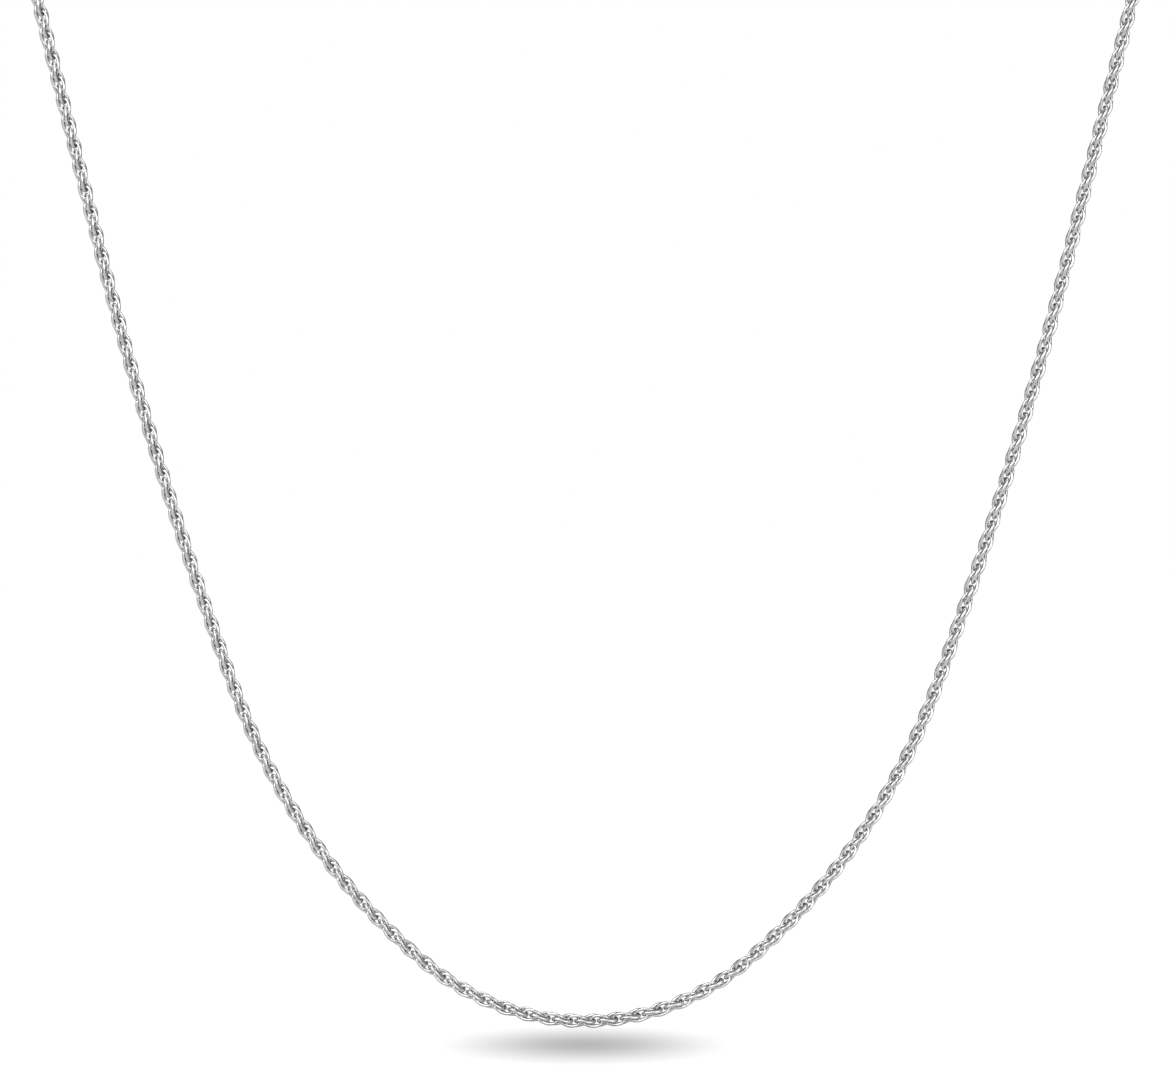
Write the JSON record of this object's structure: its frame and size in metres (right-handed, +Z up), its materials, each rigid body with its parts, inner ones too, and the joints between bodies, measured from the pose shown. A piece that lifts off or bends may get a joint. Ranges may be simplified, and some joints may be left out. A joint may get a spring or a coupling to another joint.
{
  "type": "chain necklace",
  "caption": "Fine rope-look chain necklace of twisted oval wire links, closed at the nape by a lobster-claw clasp with a sprung lever.",
  "frame": {"origin": "middle of the neck opening, level with the tops of the shoulders", "axes": "+Z up as worn, +Y towards the nape, +X to the viewer's right"},
  "size_m": [0.1188, 0.0537, 0.1408],
  "materials": {
    "chain": "polished rhodium-plated silver wire",
    "findings": "polished rhodium-plated cast silver",
    "spring": "bright drawn spring wire"
  },
  "bodies": {
    "neck_part": {"left_shoulder_chain": "chain", "right_shoulder_chain": "chain", "left_neck_chain": "chain", "right_neck_chain": "chain", "left_end_cap": "findings", "right_end_cap": "findings"},
    "front_11": {"left_front_chain_11": "chain", "right_front_chain_11": "chain"},
    "front_10": {"left_front_chain_10": "chain", "right_front_chain_10": "chain"},
    "front_9": {"left_front_chain_9": "chain", "right_front_chain_9": "chain"},
    "front_8": {"left_front_chain_8": "chain", "right_front_chain_8": "chain"},
    "front_7": {"left_front_chain_7": "chain", "right_front_chain_7": "chain"},
    "front_6": {"left_front_chain_6": "chain", "right_front_chain_6": "chain"},
    "front_5": {"left_front_chain_5": "chain", "right_front_chain_5": "chain"},
    "front_4": {"left_front_chain_4": "chain", "right_front_chain_4": "chain"},
    "front_3": {"left_front_chain_3": "chain", "right_front_chain_3": "chain"},
    "front_2": {"left_front_chain_2": "chain", "right_front_chain_2": "chain"},
    "front_1": {"left_front_chain_1": "chain", "right_front_chain_1": "chain"},
    "bottom": {"bottom_chain": "chain"},
    "left_ring": {"left_jump_ring": "findings"},
    "right_ring": {"right_jump_ring": "findings"},
    "clasp": {"clasp_body": "findings", "clasp_pivot_pin": "findings", "clasp_spring": "spring"},
    "lever": {"clasp_lever": "findings"}
  },
  "joints": [
    {"name": "link_flex_12", "type": "hinge", "parent": "neck_part", "child": "front_11", "pos_m": [0, -0.00803, -0.02084], "axis": [1, 0, 0], "range_deg": [-4, 4]},
    {"name": "link_flex_11", "type": "hinge", "parent": "front_11", "child": "front_10", "pos_m": [0, -0.00803, -0.03068], "axis": [1, 0, 0], "range_deg": [-4, 4]},
    {"name": "link_flex_10", "type": "hinge", "parent": "front_10", "child": "front_9", "pos_m": [0, -0.00803, -0.04052], "axis": [1, 0, 0], "range_deg": [-4, 4]},
    {"name": "link_flex_9", "type": "hinge", "parent": "front_9", "child": "front_8", "pos_m": [0, -0.00803, -0.05032], "axis": [1, 0, 0], "range_deg": [-4, 4]},
    {"name": "link_flex_8", "type": "hinge", "parent": "front_8", "child": "front_7", "pos_m": [0, -0.00803, -0.06005], "axis": [1, 0, 0], "range_deg": [-4, 4]},
    {"name": "link_flex_7", "type": "hinge", "parent": "front_7", "child": "front_6", "pos_m": [0, -0.00803, -0.06972], "axis": [1, 0, 0], "range_deg": [-4, 4]},
    {"name": "link_flex_6", "type": "hinge", "parent": "front_6", "child": "front_5", "pos_m": [0, -0.00803, -0.07932], "axis": [1, 0, 0], "range_deg": [-4, 4]},
    {"name": "link_flex_5", "type": "hinge", "parent": "front_5", "child": "front_4", "pos_m": [0, -0.00803, -0.08877], "axis": [1, 0, 0], "range_deg": [-4, 4]},
    {"name": "link_flex_4", "type": "hinge", "parent": "front_4", "child": "front_3", "pos_m": [0, -0.00803, -0.09763], "axis": [1, 0, 0], "range_deg": [-4, 4]},
    {"name": "link_flex_3", "type": "hinge", "parent": "front_3", "child": "front_2", "pos_m": [0, -0.00803, -0.10564], "axis": [1, 0, 0], "range_deg": [-4, 4]},
    {"name": "link_flex_2", "type": "hinge", "parent": "front_2", "child": "front_1", "pos_m": [0, -0.00803, -0.11258], "axis": [1, 0, 0], "range_deg": [-4, 4]},
    {"name": "link_flex_1", "type": "hinge", "parent": "front_1", "child": "bottom", "pos_m": [0, -0.00803, -0.117], "axis": [1, 0, 0], "range_deg": [-4, 4]},
    {"name": "left_ring_swing", "type": "hinge", "parent": "neck_part", "child": "left_ring", "pos_m": [0, 0.04324, 0.02016], "axis": [1, 0, 0], "range_deg": [-10, 10]},
    {"name": "right_ring_swing", "type": "hinge", "parent": "neck_part", "child": "right_ring", "pos_m": [0, 0.04324, 0.02016], "axis": [1, 0, 0], "range_deg": [-10, 10]},
    {"name": "clasp_swing", "type": "hinge", "parent": "neck_part", "child": "clasp", "pos_m": [0, 0.04324, 0.02016], "axis": [1, 0, 0], "range_deg": [-10, 10]},
    {"name": "lever_open", "type": "hinge", "parent": "clasp", "child": "lever", "pos_m": [0.00005, 0.04366, 0.01926], "axis": [0, 0.9063, 0.4226], "range_deg": [-11.5, 0], "stiffness_Nm_per_rad": 0.0002, "springref_deg": 17.19, "deforming": ["clasp_spring"]}
  ]
}
